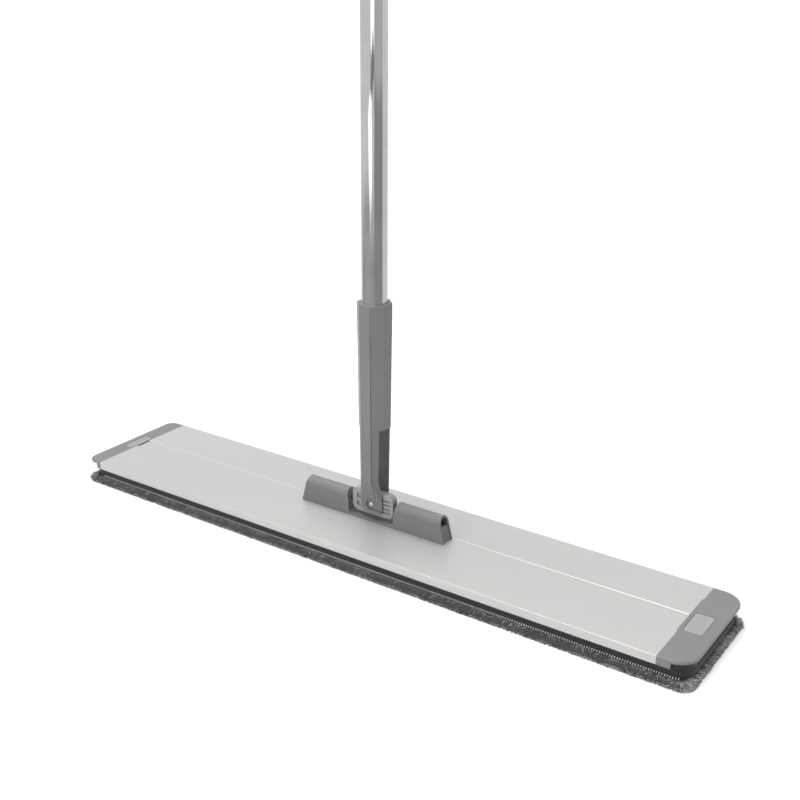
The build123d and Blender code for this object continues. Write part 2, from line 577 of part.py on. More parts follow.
with BuildPart() as socket:
    add(octagon(SOCKET_TOP, SOCKET_FLATS))
    add(octagon(NECK, NECK_FLATS))
    loft(ruled=True)
    chamfer(socket.edges().group_by(Axis.Z)[-1], SOCKET_RIM)
    add(octagon(NECK, NECK_FLATS))
    add(octagon(BEND_TOP, BEND_FLATS))
    loft(ruled=True)
    add(octagon(BEND_TOP, BEND_FLATS))
    ear_top = socket_section(
        EAR_TOP, EAR_HALF_X, EAR_HALF_Y, EAR_HALF_X - EAR_CHAMFER, EAR_HALF_Y - EAR_CHAMFER
    )
    add(ear_top)
    loft(ruled=True)
    # straight ears down past the axis
    lower = AXIS_Z - EAR_DROP
    with BuildSketch(Plane.XY.offset(lower)):
        add(ear_top.moved(Location((0, 0, -PLATE_TOP - EAR_TOP))))
    extrude(amount=PLATE_TOP + EAR_TOP - lower)
    for side, radius in EAR_CORNERS.items():
        with BuildSketch(Plane.XZ):
            with Locations((side * (EAR_HALF_X - radius / 2), lower + radius / 2)):
                Rectangle(radius + 0.2, radius + 0.2)
            with Locations((side * (EAR_HALF_X - radius), lower + radius)):
                Circle(radius, mode=Mode.SUBTRACT)
        extrude(amount=EAR_HALF_Y + 1.0, both=True, mode=Mode.SUBTRACT)
    # gap between the ears, widening upwards to the window
    with BuildSketch(Plane.YZ.offset(-CUT)):
        with BuildLine():
            Polyline(
                (-EAR_GAP_HALF, lower - 1.0),
                (-EAR_GAP_HALF, PLATE_TOP + EAR_TOP),
                (-WINDOW_HALF, PLATE_TOP + BEND_TOP),
                (-WINDOW_HALF, PLATE_TOP + WINDOW_TOP),
                (WINDOW_HALF, PLATE_TOP + WINDOW_TOP),
                (WINDOW_HALF, PLATE_TOP + BEND_TOP),
                (EAR_GAP_HALF, PLATE_TOP + EAR_TOP),
                (EAR_GAP_HALF, lower - 1.0),
                close=True,
            )
        make_face()
    extrude(amount=2 * CUT, mode=Mode.SUBTRACT)
    # seat for the tube
    with BuildSketch(Plane.XY.offset(PLATE_TOP + TUBE_SEAT)):
        Circle(TUBE_RADIUS + RUNNING)
    extrude(amount=SOCKET_TOP, mode=Mode.SUBTRACT)
    # pivot screw hole and the recess round the screw head, open to the right
    with BuildSketch(Plane.XZ):
        with Locations((0, AXIS_Z)):
            Circle(SCREW_RADIUS + FIT)
    extrude(amount=CUT, both=True, mode=Mode.SUBTRACT)
    for start in (EAR_HALF_Y - SCREW_POCKET_DEPTH, -EAR_HALF_Y - 1.0):
        with BuildSketch(Plane.XZ.offset(start)):
            with Locations((0, AXIS_Z)):
                Circle(SCREW_POCKET)
            with Locations((EAR_HALF_X / 2 + 0.5, AXIS_Z)):
                Rectangle(EAR_HALF_X + 1.0, 2 * SCREW_POCKET)
        extrude(amount=SCREW_POCKET_DEPTH + 1.0, mode=Mode.SUBTRACT)
    # seam down the front and the back, a shallow line that follows the faces
    for hand in (-1, 1):
        with BuildSketch(Plane.YZ.offset(SEAM_X - SEAM_WIDTH / 2)):
            with BuildLine():
                Polyline(
                    (hand * (EAR_HALF_Y - SEAM_DEPTH), AXIS_Z + SCREW_POCKET - 0.5),
                    (hand * (EAR_HALF_Y - SEAM_DEPTH), PLATE_TOP + EAR_TOP),
                    (hand * (BEND_FLATS / 2 - SEAM_DEPTH), PLATE_TOP + BEND_TOP),
                    (hand * (NECK_FLATS / 2 - SEAM_DEPTH), PLATE_TOP + NECK),
                    (hand * (SOCKET_FLATS / 2 - SEAM_TOP_DEPTH), PLATE_TOP + SOCKET_TOP),
                    (hand * SOCKET_FLATS, PLATE_TOP + SOCKET_TOP),
                    (hand * SOCKET_FLATS, AXIS_Z + SCREW_POCKET - 0.5),
                    close=True,
                )
            make_face()
        extrude(amount=SEAM_WIDTH, mode=Mode.SUBTRACT)
    # hole for the locking screw, through the back wall
    with BuildSketch(Plane.XZ.offset(-SOCKET_FLATS)):
        with Locations((LOCK_X, PLATE_TOP + LOCK_HEIGHT)):
            Circle(LOCK_RADIUS + LOCK_LOOSE)
    extrude(amount=SOCKET_FLATS, mode=Mode.SUBTRACT)
save("handle_socket", socket)

# ---- pivot screw and its nut --------------------------------------------------------------
HEAD_RADIUS = 2.7
HEAD_HEIGHT = 1.9
HEAD_SEAT = EAR_HALF_Y - SCREW_POCKET_DEPTH
NUT_FLATS = 7.0
NUT_HEIGHT = 2.6

with BuildPart() as screw:
    with BuildSketch(Plane.XZ.offset(HEAD_SEAT)):
        with Locations((0, AXIS_Z)):
            Circle(HEAD_RADIUS)
    extrude(amount=HEAD_HEIGHT)
    fillet(screw.faces().sort_by(Axis.Y)[0].edges(), 0.9 * HEAD_HEIGHT)
    with BuildSketch(Plane.XZ.offset(HEAD_SEAT)):
        with Locations((0, AXIS_Z)):
            Circle(SCREW_RADIUS)
    extrude(amount=-(2 * HEAD_SEAT + NUT_HEIGHT))
save("pivot_screw", screw)

with BuildPart() as nut:
    with BuildSketch(Plane.XZ.offset(-HEAD_SEAT)):
        with Locations((0, AXIS_Z)):
            RegularPolygon(NUT_FLATS / 2, 6, major_radius=False)
            Circle(SCREW_RADIUS, mode=Mode.SUBTRACT)
    extrude(amount=-(NUT_HEIGHT - 0.4))
save("pivot_nut", nut)

# ---- tube, its foot plug and the locking screw --------------------------------------------
PLUG_HEIGHT = 14.0
PLUG_BORE = 6.0
PLUG_EDGE = 0.6
SLEEVE_HALF = 10.0
LOCK_HEAD_RADIUS = 3.4
LOCK_HEAD_SEAT = SOCKET_FLATS / 2 + 0.7
LOCK_HEAD_HEIGHT = 1.8
LOCK_HEAD_ROUND = 1.0
LOCK_TIP = 7.2                # the screw starts this far behind the tube's axis

with BuildPart() as tube:
    with BuildSketch(Plane.XY.offset(PLATE_TOP + TUBE_SEAT)):
        Circle(TUBE_RADIUS)
        Circle(TUBE_RADIUS - TUBE_WALL, mode=Mode.SUBTRACT)
    extrude(amount=TUBE_TOP - PLATE_TOP - TUBE_SEAT)
    with BuildSketch(Plane.XZ.offset(-SOCKET_FLATS)):
        with Locations((LOCK_X, PLATE_TOP + LOCK_HEIGHT)):
            Circle(LOCK_RADIUS + LOCK_LOOSE)
    extrude(amount=SOCKET_FLATS, mode=Mode.SUBTRACT)
save("handle_tube", tube)

with BuildPart() as plug:
    with BuildSketch(Plane.XY.offset(PLATE_TOP + TUBE_SEAT + 0.2)):
        Circle(TUBE_RADIUS - TUBE_WALL - FIT)
        Circle(PLUG_BORE, mode=Mode.SUBTRACT)
    extrude(amount=PLUG_HEIGHT)
    chamfer(plug.edges().group_by(Axis.Z)[-1], PLUG_EDGE)
save("tube_foot_plug", plug)

with BuildPart() as lock_insert:
    with BuildSketch(Plane.XY.offset(PLATE_TOP + LOCK_HEIGHT - SLEEVE_HALF)):
        Circle(TUBE_RADIUS - TUBE_WALL - FIT)
        Circle(PLUG_BORE, mode=Mode.SUBTRACT)
    extrude(amount=2 * SLEEVE_HALF)
    with BuildSketch(Plane.XZ.offset(-SOCKET_FLATS)):
        with Locations((LOCK_X, PLATE_TOP + LOCK_HEIGHT)):
            Circle(LOCK_RADIUS + FIT)
    extrude(amount=SOCKET_FLATS, mode=Mode.SUBTRACT)
save("tube_lock_sleeve", lock_insert)

with BuildPart() as lock_screw:
    with BuildSketch(Plane.XZ.offset(-LOCK_HEAD_SEAT)):
        with Locations((LOCK_X, PLATE_TOP + LOCK_HEIGHT)):
            Circle(LOCK_HEAD_RADIUS)
    extrude(amount=-LOCK_HEAD_HEIGHT)
    fillet(lock_screw.faces().sort_by(Axis.Y)[-1].edges(), LOCK_HEAD_ROUND)
    with BuildSketch(Plane.XZ.offset(-LOCK_TIP)):
        with Locations((LOCK_X, PLATE_TOP + LOCK_HEIGHT)):
            Circle(LOCK_RADIUS)
    extrude(amount=LOCK_TIP - LOCK_HEAD_SEAT - 0.1)
save("tube_lock_screw", lock_screw)

# ---- grip ---------------------------------------------------------------------------------
GRIP_WALL = 2.4
GRIP_TAPER = 6.0
GRIP_RING_PITCH = 9.0
GRIP_RING_RADIUS = 1.1
GRIP_RING_START = 14.0
GRIP_RING_ROOM = 24.0

with BuildPart() as grip:
    with BuildSketch(Plane.XZ) as profile:
        with BuildLine():
            Polyline(
                (TUBE_RADIUS, GRIP_BOTTOM),
                (TUBE_RADIUS + 1.0, GRIP_BOTTOM),
                (TUBE_RADIUS + GRIP_WALL, GRIP_BOTTOM + GRIP_TAPER),
                (TUBE_RADIUS + GRIP_WALL, GRIP_TOP),
                (TUBE_RADIUS, GRIP_TOP),
                close=True,
            )
        make_face()
    revolve(axis=Axis.Z)
    ring_count = int((GRIP_TOP - GRIP_BOTTOM - GRIP_RING_ROOM) / GRIP_RING_PITCH)
    for ring in range(ring_count):
        ring_z = GRIP_BOTTOM + GRIP_RING_START + ring * GRIP_RING_PITCH
        with BuildSketch(Plane.XZ):
            with Locations((TUBE_RADIUS + GRIP_WALL, ring_z)):
                Circle(GRIP_RING_RADIUS)
        revolve(axis=Axis.Z, mode=Mode.SUBTRACT)
save("grip", grip)

EYE_WIDTH = 12.0
EYE_HEIGHT = 16.0
EYE_CORNER = 5.5
EYE_DROP = 7.0                # material above the eye
TAB_THICKNESS = 10.0
TAB_CORNER = 11.0
TAB_FOOT = 12.0
COLLAR = 5.0
INSERT_DEPTH = 18.0

with BuildPart() as hang_cap:
    # plug that fits the tube, shoulder that meets the grip, and a flat eye on top
    with BuildSketch(Plane.XY.offset(TUBE_TOP + 0.2)):
        Circle(TUBE_RADIUS)
    extrude(amount=GRIP_TOP - TUBE_TOP - 0.2)
    with BuildSketch(Plane.XY.offset(TUBE_TOP - INSERT_DEPTH)):
        Circle(TUBE_RADIUS - TUBE_WALL - FIT)
    extrude(amount=INSERT_DEPTH + 0.2)
    with BuildSketch(Plane.XY.offset(GRIP_TOP)):
        Circle(TUBE_RADIUS + GRIP_WALL)
    extrude(amount=COLLAR)
    with BuildSketch(Plane.XZ.offset(-TAB_THICKNESS / 2)):
        with Locations((0, (GRIP_TOP + HANDLE_TOP) / 2)):
            RectangleRounded(2 * TUBE_RADIUS, HANDLE_TOP - GRIP_TOP, TAB_CORNER)
        with Locations((0, GRIP_TOP + TAB_FOOT / 2)):
            Rectangle(2 * TUBE_RADIUS, TAB_FOOT)
        with Locations((0, HANDLE_TOP - EYE_DROP - EYE_HEIGHT / 2)):
            RectangleRounded(EYE_WIDTH, EYE_HEIGHT, EYE_CORNER, mode=Mode.SUBTRACT)
    extrude(amount=TAB_THICKNESS)
save("hanging_cap", hang_cap)
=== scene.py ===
"""Flat mop: long aluminium mop plate with a microfibre pad, swivel joint and chrome handle."""

import math
import bpy
import numpy as np
from mathutils import Matrix, Vector


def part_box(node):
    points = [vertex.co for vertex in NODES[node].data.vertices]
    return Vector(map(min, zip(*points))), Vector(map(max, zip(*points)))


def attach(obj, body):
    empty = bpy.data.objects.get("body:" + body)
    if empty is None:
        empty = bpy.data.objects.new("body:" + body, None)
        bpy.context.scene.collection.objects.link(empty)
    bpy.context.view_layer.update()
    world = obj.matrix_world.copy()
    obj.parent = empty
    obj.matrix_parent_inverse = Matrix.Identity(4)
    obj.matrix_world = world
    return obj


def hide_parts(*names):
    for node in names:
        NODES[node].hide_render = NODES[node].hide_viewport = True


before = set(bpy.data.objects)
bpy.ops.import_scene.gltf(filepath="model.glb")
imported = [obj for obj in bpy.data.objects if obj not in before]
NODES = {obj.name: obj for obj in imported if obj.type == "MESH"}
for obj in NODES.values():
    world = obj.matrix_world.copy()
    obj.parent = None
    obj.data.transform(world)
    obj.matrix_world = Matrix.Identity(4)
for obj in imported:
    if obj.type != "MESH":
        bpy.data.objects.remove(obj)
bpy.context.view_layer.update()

MM = 0.001
UP = (0.0, 0.0, 1.0)


# ---- materials -----------------------------------------------------------------------------
class Wire:
    """One shader socket. Arithmetic on it adds Math nodes."""

    def __init__(self, paint, socket):
        self.paint = paint
        self.socket = socket

    def math(self, operation, first, second=0.0):
        return self.paint.node("ShaderNodeMath", {"operation": operation}, {0: first, 1: second})

    def __add__(self, other):
        return self.math("ADD", self, other)

    def __sub__(self, other):
        return self.math("SUBTRACT", self, other)

    def __rsub__(self, other):
        return self.math("SUBTRACT", other, self)

    def __mul__(self, other):
        return self.math("MULTIPLY", self, other)

    __radd__ = __add__
    __rmul__ = __mul__

    def sine(self):
        return self.math("SINE", self)

    def size(self):
        return self.math("ABSOLUTE", self)


class Paint:
    """One procedural material round a Principled shader. Values that are uniform go on its sockets."""

    def __init__(self, name, colour, **uniform):
        self.material = bpy.data.materials.new(name)
        self.material.use_nodes = True
        self.tree = self.material.node_tree
        self.tree.nodes.clear()
        self.shader = self.tree.nodes.new("ShaderNodeBsdfPrincipled")
        output = self.tree.nodes.new("ShaderNodeOutputMaterial")
        self.tree.links.new(self.shader.outputs[0], output.inputs["Surface"])
        self.shader.inputs["Base Color"].default_value = (*colour, 1.0)
        for name, value in uniform.items():
            self.shader.inputs[name.replace("_", " ")].default_value = value

    def node(self, kind, settings=None, inputs=None, output=0):
        made = self.tree.nodes.new(kind)
        for name, value in (settings or {}).items():
            if name == "stops":
                set_stops(made.color_ramp, value)
            else:
                setattr(made, name, value)
        for name, value in (inputs or {}).items():
            self.feed(made.inputs[name], value)
        return Wire(self, made.outputs[output])

    def feed(self, socket, value):
        if isinstance(value, Wire):
            self.tree.links.new(value.socket, socket)
        else:
            socket.default_value = value

    def drive(self, name, value):
        self.feed(self.shader.inputs[name], value)
        return self

    def place(self, stretch=(1.0, 1.0, 1.0)):
        place = self.node("ShaderNodeTexCoord", output=3)
        return self.node("ShaderNodeMapping", None, {"Vector": place, "Scale": stretch})

    def noise(self, scale, detail=2.0, stretch=(1.0, 1.0, 1.0), roughness=0.5):
        inputs = {"Vector": self.place(stretch), "Scale": scale, "Detail": detail, "Roughness": roughness}
        return self.node("ShaderNodeTexNoise", None, inputs)

    def cells(self, scale, stretch=(1.0, 1.0, 1.0)):
        inputs = {"Vector": self.place(stretch), "Scale": scale}
        return self.node("ShaderNodeTexVoronoi", None, inputs)

    def ramp(self, factor, *stops):
        return self.node("ShaderNodeValToRGB", {"stops": stops}, {0: factor})

    def mix(self, factor, first, second):
        inputs = {0: factor, 6: rgba(first), 7: rgba(second)}
        return self.node("ShaderNodeMix", {"data_type": "RGBA"}, inputs, output=2)

    def bump(self, height, depth, strength=1.0):
        bump = self.node("ShaderNodeBump", None, {"Height": height, "Distance": depth, "Strength": strength})
        return self.drive("Normal", bump)


def rgba(colour):
    return colour if isinstance(colour, Wire) else (*colour, 1.0)


def grey(level, warmth=0.0):
    """A grey of that display level from 0 to 255, slightly warm or cool."""
    value = (level / 255.0) ** 2.2
    return (value * (1.0 + warmth), value, value * (1.0 - warmth))


def set_stops(ramp, stops):
    while len(ramp.elements) < len(stops):
        ramp.elements.new(1.0)
    for element, (position, colour) in zip(ramp.elements, stops):
        element.position = position
        element.color = (*colour, 1.0)


def moulded_plastic(name, level, roughness=0.42, specular=0.45):
    """Moulded plastic: fine eroded grain, faint flow clouds and a few rubbed spots."""
    paint = Paint(name, grey(level), Specular_IOR_Level=specular)
    clouds = paint.noise(14.0, 3.0)
    rubbed = paint.noise(55.0, 6.0, roughness=0.65)
    shade = paint.ramp(clouds, (0.3, grey(level * 0.975)), (0.7, grey(level * 1.02)))
    marks = paint.ramp(rubbed, (0.62, (0.0,) * 3), (0.78, (1.0,) * 3))
    paint.drive("Base Color", paint.mix(marks * 0.18, shade, grey(min(level * 1.25, 235))))
    fine = paint.noise(1800.0, 2.0)
    paint.drive("Roughness", roughness + (rubbed - 0.5) * 0.16 + (fine - 0.5) * 0.08)
    return paint.bump(fine, 0.03 * MM, 0.5).material


def satin_aluminium():
    """Anodised extrusion: faint die lines along its length and a soft cloudy sheen."""
    paint = Paint("satin_aluminium", grey(214), Metallic=0.4, Specular_IOR_Level=0.5)
    lines = paint.noise(1.0, 4.0, (1.2, 900.0, 900.0), 0.6)
    broad = paint.noise(3.0, 2.0, (1.0, 3.0, 3.0))
    cloth = paint.noise(26.0, 5.0, (0.5, 1.4, 1.4), 0.6)
    shade = paint.ramp(lines * 0.55 + broad * 0.45, (0.32, grey(193, 0.022)), (0.68, grey(200, 0.026)))
    smears = paint.ramp(cloth, (0.55, (0.0,) * 3), (0.8, (1.0,) * 3))
    paint.drive("Base Color", paint.mix(smears * 0.12, shade, grey(184, 0.018)))
    paint.drive("Roughness", 0.36 + (lines - 0.5) * 0.14 + smears * 0.06)
    return paint.bump(lines, 0.02 * MM, 0.35).material


def bright_metal(name, level, roughness, lines=(300.0, 300.0, 300.0), depth=0.01 * MM):
    """Turned or rolled metal: fine tool lines and slightly uneven polish."""
    paint = Paint(name, grey(level), Metallic=1.0)
    tool = paint.noise(1.0, 3.0, lines, 0.6)
    stains = paint.noise(40.0, 4.0)
    shade = paint.ramp(stains, (0.3, grey(level * 0.94, 0.01)), (0.75, grey(level, -0.005)))
    paint.drive("Base Color", shade)
    paint.drive("Roughness", roughness + (tool - 0.5) * roughness * 0.6 + (stains - 0.5) * roughness * 0.5)
    return paint.bump(tool, depth, 0.4).material


def woven_cloth(name, dark, light, pitch, sheen=0.3, fuzz=0.5):
    """Tight plain weave with a little lint, read along the edge of the pad and up its side."""
    paint = Paint(name, grey(dark), Roughness=0.9, Sheen_Weight=sheen, Sheen_Roughness=0.5)
    split = paint.node("ShaderNodeSeparateXYZ", None, {0: paint.place()})
    across, up, along = [Wire(paint, split.socket.node.outputs[i]) for i in (1, 2, 0)]
    turns = 2 * math.pi / pitch
    warp = ((along + across) * turns).sine()
    weft = (up * turns * 1.3).sine()
    weave = warp * weft * 0.5 + 0.5
    lint = paint.noise(900.0, 4.0, (1.0, 1.0, 1.0), 0.7)
    wear = paint.noise(60.0, 3.0)
    tone = weave * 0.45 + lint * fuzz + wear * 0.25
    paint.drive("Base Color", paint.ramp(tone, (0.3, grey(dark)), (0.95, grey(light))))
    return paint.bump(weave + lint * 0.6, 0.12 * MM, 0.7).material


def pile_yarn(name, dark, light):
    """Microfibre strands: each has its own tone, with painted shade that makes it dark at the root and pale
    at the tip.
    """
    paint = Paint(name, grey(light), Roughness=0.85, Sheen_Weight=0.35, Sheen_Roughness=0.45)
    tint = paint.node("ShaderNodeAttribute", {"attribute_name": "tint"}, output=2)
    fibres = paint.noise(2600.0, 3.0)
    patches = paint.noise(90.0, 2.0)
    tone = tint * 0.72 + (fibres - 0.5) * 0.35 + (patches - 0.5) * 0.5
    middle = grey((dark + light) / 2)
    paint.drive("Base Color", paint.ramp(tone, (0.08, grey(dark)), (0.5, middle), (0.95, grey(light))))
    return paint.bump(fibres, 0.1 * MM, 0.6).material


def soft_grip(name, level):
    """Soft-touch moulding with a fine leathery stipple."""
    paint = Paint(name, grey(level), Specular_IOR_Level=0.4)
    stipple = paint.cells(1100.0)
    clouds = paint.noise(30.0, 4.0)
    paint.drive("Base Color", paint.ramp(clouds, (0.3, grey(level * 0.92)), (0.75, grey(level * 1.12))))
    paint.drive("Roughness", 0.62 + (clouds - 0.5) * 0.2)
    return paint.bump(stipple, 0.1 * MM, 0.6).material


def hook_tape(name):
    """Hook fastener tape: rows of tiny hooks on a black ground."""
    paint = Paint(name, grey(30), Roughness=0.6)
    hooks = paint.cells(700.0, (1.0, 0.7, 1.0))
    paint.drive("Base Color", paint.ramp(hooks, (0.1, grey(62)), (0.5, grey(22))))
    return paint.bump(1 - hooks, 0.4 * MM, 0.9).material


FINISHES = {
    "satin_aluminium": satin_aluminium(),
    "cap_plastic": moulded_plastic("cap_plastic", 127),
    "light_plastic": moulded_plastic("light_plastic", 160, 0.4),
    "grey_plastic": moulded_plastic("grey_plastic", 127, 0.36, 0.3),
    "block_plastic": moulded_plastic("block_plastic", 158, 0.45),
    "inner_plastic": moulded_plastic("inner_plastic", 48, 0.5),
    "grip_plastic": soft_grip("grip_plastic", 62),
    "spring_steel": bright_metal("spring_steel", 176, 0.32, (40.0, 900.0, 900.0)),
    "steel": bright_metal("steel", 188, 0.3),
    "polished_steel": bright_metal("polished_steel", 232, 0.16, (700.0, 60.0, 700.0)),
    "chrome_tube": bright_metal("chrome_tube", 236, 0.07, (160.0, 160.0, 9.0), 0.003 * MM),
    "hook_tape": hook_tape("hook_tape"),
    "black_backing": woven_cloth("black_backing", 20, 54, 1.1 * MM),
    "thread": woven_cloth("thread", 238, 255, 0.5 * MM, 0.2, 0.4),
    "dark_thread": woven_cloth("dark_thread", 60, 110, 0.5 * MM, 0.2, 0.4),
    "grey_microfibre": pile_yarn("grey_microfibre", 52, 226),
    "black_rubber": soft_grip("black_rubber", 36),
}

NODE_FINISH = {
    "aluminium_plate": "satin_aluminium",
    "hook_strip_front": "hook_tape",
    "hook_strip_back": "hook_tape",
    "end_cap_left": "cap_plastic",
    "end_cap_right": "cap_plastic",
    "release_button_left": "light_plastic",
    "release_button_right": "light_plastic",
    "button_spring_left": "spring_steel",
    "button_spring_right": "spring_steel",
    "hinge_bracket": "grey_plastic",
    "bracket_screws": "steel",
    "swivel_block": "block_plastic",
    "swivel_pin_left": "polished_steel",
    "swivel_pin_right": "polished_steel",
    "friction_washer_left": "inner_plastic",
    "friction_washer_right": "inner_plastic",
    "handle_socket": "grey_plastic",
    "pivot_screw": "polished_steel",
    "pivot_nut": "steel",
    "handle_tube": "chrome_tube",
    "tube_foot_plug": "black_rubber",
    "tube_lock_sleeve": "inner_plastic",
    "tube_lock_screw": "steel",
    "grip": "grip_plastic",
    "hanging_cap": "grey_plastic",
}
for node_name, finish in NODE_FINISH.items():
    for material_slot in NODES[node_name].material_slots:
        material_slot.material = FINISHES[finish]


# ---- modelling helpers ---------------------------------------------------------------------
def start_piece(name, add, **place):
    """Adds a primitive with nothing else selected."""
    bpy.ops.object.select_all(action="DESELECT")
    add(**place)
    piece = bpy.context.object
    piece.name = name
    piece.data.name = name
    return piece


def settle(piece):
    """Puts the object's place, turn and scale into its mesh."""
    bpy.ops.object.transform_apply(location=True, rotation=True, scale=True)
    return piece


def pick_edges(piece, test):
    """Selects, in edit mode, the edges whose two ends pass the test."""
    bpy.ops.mesh.select_mode(type="EDGE")
    bpy.ops.mesh.select_all(action="DESELECT")
    bpy.ops.object.mode_set(mode="OBJECT")
    mesh = piece.data
    for edge in mesh.edges:
        edge.select = test(*(mesh.vertices[i].co for i in edge.vertices))
    bpy.ops.object.mode_set(mode="EDIT")


def make_active(piece):
    bpy.ops.object.select_all(action="DESELECT")
    piece.select_set(True)
    bpy.context.view_layer.objects.active = piece


def apply_modifier(piece, kind, **settings):
    modifier = piece.modifiers.new(kind.lower(), kind)
    for name, value in settings.items():
        setattr(modifier, name, value)
    make_active(piece)
    bpy.ops.object.modifier_apply(modifier=modifier.name)


def smooth(piece, angle):
    make_active(piece)
    bpy.ops.object.shade_smooth_by_angle(angle=math.radians(angle))


def finish_piece(piece, finish, body, slot=None, *replaced):
    piece.data.materials.clear()
    piece.data.materials.append(FINISHES[finish])
    if replaced:
        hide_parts(*replaced)
    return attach(piece, body)


def rounded_slab(name, half_x, half_y, corner, profile):
    """A slab with rounded corners, pulled up through levels of (height, how far the side stands out)."""
    levels = [(height * MM, out * MM) for height, out in profile]
    height, out = levels[0]
    piece = start_piece(name, bpy.ops.mesh.primitive_plane_add, size=2.0, location=(*PAD_CENTRE, height))
    piece.scale = (half_x + out, half_y + out, 1.0)
    settle(piece)
    bpy.ops.object.mode_set(mode="EDIT")
    bpy.ops.mesh.select_all(action="SELECT")
    bpy.ops.mesh.bevel(offset=corner, segments=CORNER_SEGMENTS, affect="VERTICES")
    for next_height, next_out in levels[1:]:
        bpy.ops.mesh.extrude_region_move(
            TRANSFORM_OT_translate={"value": (0, 0, next_height - height)}
        )
        bpy.ops.transform.resize(
            value=((half_x + next_out) / (half_x + out), (half_y + next_out) / (half_y + out), 1.0),
            center_override=(*PAD_CENTRE, next_height),
        )
        height, out = next_height, next_out
    bpy.ops.mesh.select_all(action="SELECT")
    bpy.ops.mesh.normals_make_consistent(inside=False)
    bpy.ops.object.mode_set(mode="OBJECT")
    return piece


def rim_point(along, half_x, half_y, corner):
    """Place and outward direction at distances along the outline of a rounded rectangle."""
    run_x, run_y = 2 * (half_x - corner), 2 * (half_y - corner)
    arc = corner * math.pi / 2
    total = 2 * run_x + 2 * run_y + 4 * arc
    along = np.mod(along, total)
    spans = [run_x, arc, run_y, arc, run_x, arc, run_y, arc]
    starts = np.concatenate([[0.0], np.cumsum(spans)])
    points = np.zeros((len(along), 2))
    outward = np.zeros((len(along), 2))
    corners = [(1, -1), (1, 1), (-1, 1), (-1, -1)]
    for side in range(4):
        turn = -math.pi / 2 + side * math.pi / 2
        normal = np.array([math.cos(turn), math.sin(turn)])
        heading = np.array([-normal[1], normal[0]])
        centre = np.array(corners[side]) * np.array([half_x - corner, half_y - corner])
        run = spans[2 * side]
        on_run = (along >= starts[2 * side]) & (along < starts[2 * side + 1])
        step = along[on_run] - starts[2 * side]
        points[on_run] = centre + normal * corner + heading * (step - run)[:, None]
        outward[on_run] = normal
        on_arc = (along >= starts[2 * side + 1]) & (along <= starts[2 * side + 2])
        angle = turn + (along[on_arc] - starts[2 * side + 1]) / corner
        rays = np.stack([np.cos(angle), np.sin(angle)], 1)
        points[on_arc] = centre + rays * corner
        outward[on_arc] = rays
    return points + np.array(PAD_CENTRE), outward, total


def wander(along, total, waves, seed):
    """Smooth uneven values from -1 to 1 along a closed outline."""
    random = np.random.default_rng(seed)
    value = np.zeros_like(along)
    for wave in waves:
        for _ in range(4):
            turns = round(total / (wave * random.uniform(0.7, 1.4)))
            value += np.sin(2 * math.pi * turns * along / total + random.uniform(0, 2 * math.pi))
    return value / (2.2 * len(waves))


def copies_of(pattern, name, build):
    """One mesh of many copies of a pattern. build gives each copy's points, and a tint for each point."""
    quad_faces = [face for face in pattern.data.polygons if len(face.vertices) == 4]
    corners = np.array([list(face.vertices) for face in quad_faces])
    shape = np.array([vertex.co for vertex in pattern.data.vertices])
    points, tints = build(shape)
    copies = len(points)
    quads = (corners[None] + np.arange(copies)[:, None, None] * len(shape)).reshape(-1, 4)
    mesh = bpy.data.meshes.new(name)
    mesh.vertices.add(copies * len(shape))
    mesh.vertices.foreach_set("co", points.astype(np.float32).ravel())
    mesh.loops.add(len(quads) * 4)
    mesh.loops.foreach_set("vertex_index", quads.astype(np.int32).ravel())
    mesh.polygons.add(len(quads))
    mesh.polygons.foreach_set("loop_start", np.arange(0, len(quads) * 4, 4, dtype=np.int32))
    mesh.update(calc_edges=True)
    mesh.polygons.foreach_set("use_smooth", np.ones(len(quads), bool))
    tint = mesh.attributes.new("tint", "FLOAT", "POINT")
    tint.data.foreach_set("value", tints.astype(np.float32).ravel())
    piece = bpy.data.objects.new(name, mesh)
    bpy.context.scene.collection.objects.link(piece)
    return piece


def yarn_pattern(name, rings, widths, sides):
    """A short strand along Z from 0 to 1, of unit width, with a closed tip."""
    piece = start_piece(
        name, bpy.ops.mesh.primitive_cylinder_add,
        vertices=sides, radius=0.5, depth=1.0, location=(0, 0, 0.5), end_fill_type="NGON",
    )
    settle(piece)
    bpy.ops.object.mode_set(mode="EDIT")
    for ring in rings:
        bpy.ops.mesh.select_all(action="SELECT")
        bpy.ops.mesh.bisect(plane_co=(0, 0, ring), plane_no=UP)
    bpy.ops.object.mode_set(mode="OBJECT")
    for vertex in piece.data.vertices:
        width = float(np.interp(vertex.co.z, [0.0, *rings, 1.0], widths))
        vertex.co.x *= width
        vertex.co.y *= width
    return piece


# ---- measures taken from the frame ---------------------------------------------------------
plate_low, plate_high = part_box("aluminium_plate")
backing_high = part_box("pad_backing")[1]
pile_low, pile_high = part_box("pad_pile")
PAD_CENTRE = ((pile_low.x + pile_high.x) / 2, (pile_low.y + pile_high.y) / 2)
CLOTH_HALF = (backing_high.x - PAD_CENTRE[0], backing_high.y - PAD_CENTRE[1])
CLOTH_CORNER = 15.0 * MM
CLOTH_TOP = plate_low.z
PILE_HALF = (pile_high.x - PAD_CENTRE[0], pile_high.y - PAD_CENTRE[1])
PILE_CORNER = 14.0 * MM
CORNER_SEGMENTS = 14
CAP_FOOT = 12.8 * MM                     # how far the right cap's deep foot reaches past the plate

